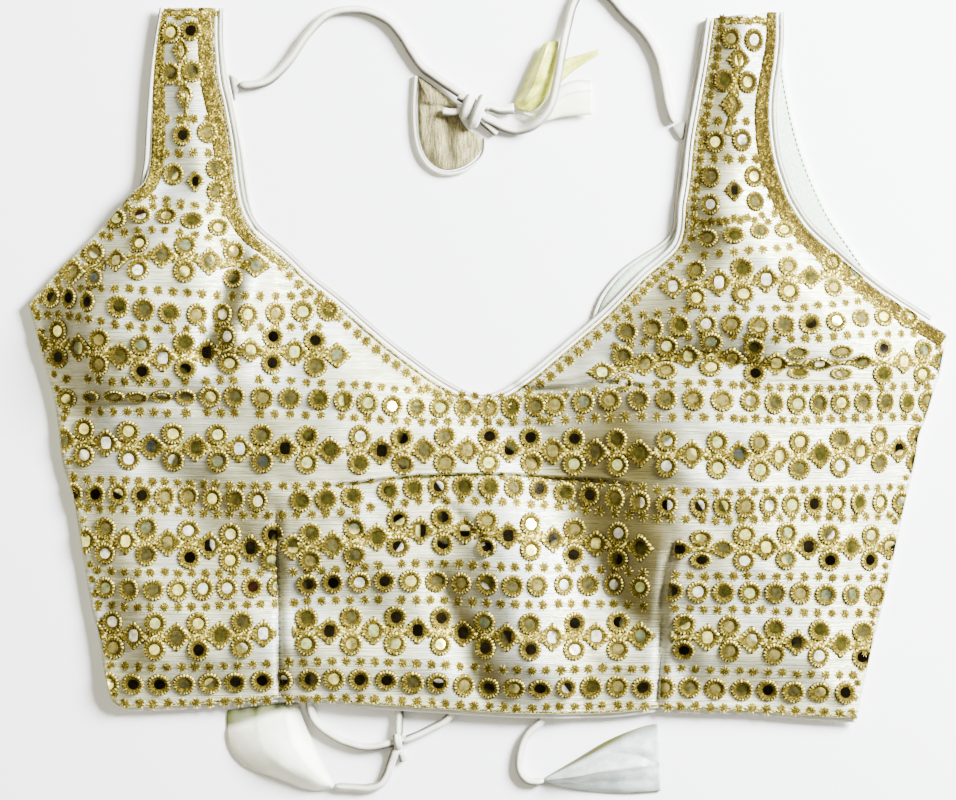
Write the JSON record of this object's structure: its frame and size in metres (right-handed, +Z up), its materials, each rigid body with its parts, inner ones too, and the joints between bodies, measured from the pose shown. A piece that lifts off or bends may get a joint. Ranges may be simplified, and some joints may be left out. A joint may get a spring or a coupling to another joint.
{
  "type": "choli blouse",
  "caption": "Sleeveless cropped choli laid flat face up, mirror-work silk front with low cups, open tied back, neck and hem ties with latkans.",
  "frame": {"origin": "on the surface the blouse lies on, under the middle of the garment's own box, ties left out", "axes": "+X across the garment to the right as seen from above, +Y from the hem to the shoulders, +Z up from the surface through the front"},
  "size_m": [0.46, 0.4056, 0.0325],
  "materials": {
    "mirror_silk": "dupion silk, off white, slubbed across, covered in stitching",
    "back_silk": "plain dupion silk",
    "lining": "plain cotton, pale",
    "piping": "cream satin bias over cord",
    "satin": "cream satin",
    "weave": "beige plain weave",
    "gold_thread": "metallic thread",
    "mirror": "small silvered mirrors"
  },
  "bodies": {
    "root": {"front_panel": "mirror_silk", "hem_facing": "piping", "back_panel_left": "back_silk", "back_panel_right": "back_silk", "back_lining_left": "lining", "back_lining_right": "lining", "piping_neck": "piping", "piping_armhole_left": "piping", "piping_armhole_right": "piping", "piping_back_neck_left": "piping", "piping_back_neck_right": "piping", "dori_tab_left": "piping", "dori_tab_right": "piping", "dori_left": "piping", "dori_right": "piping", "knot_neck": "piping", "knot_neck_stub": "piping", "latkan_tail": "piping", "latkan_teardrop": "weave", "latkan_teardrop_piping": "piping", "latkan_petal_upper": "satin", "latkan_petal_side": "satin", "latkan_petal_under": "satin", "hem_tie_left": "piping", "hem_tie_left_end": "piping", "hem_bow_ear": "piping", "hem_tie_right": "piping", "knot_hem": "piping", "knot_hem_stub": "piping", "latkan_hem_left": "satin", "latkan_hem_right": "satin"}
  },
  "joints": []
}
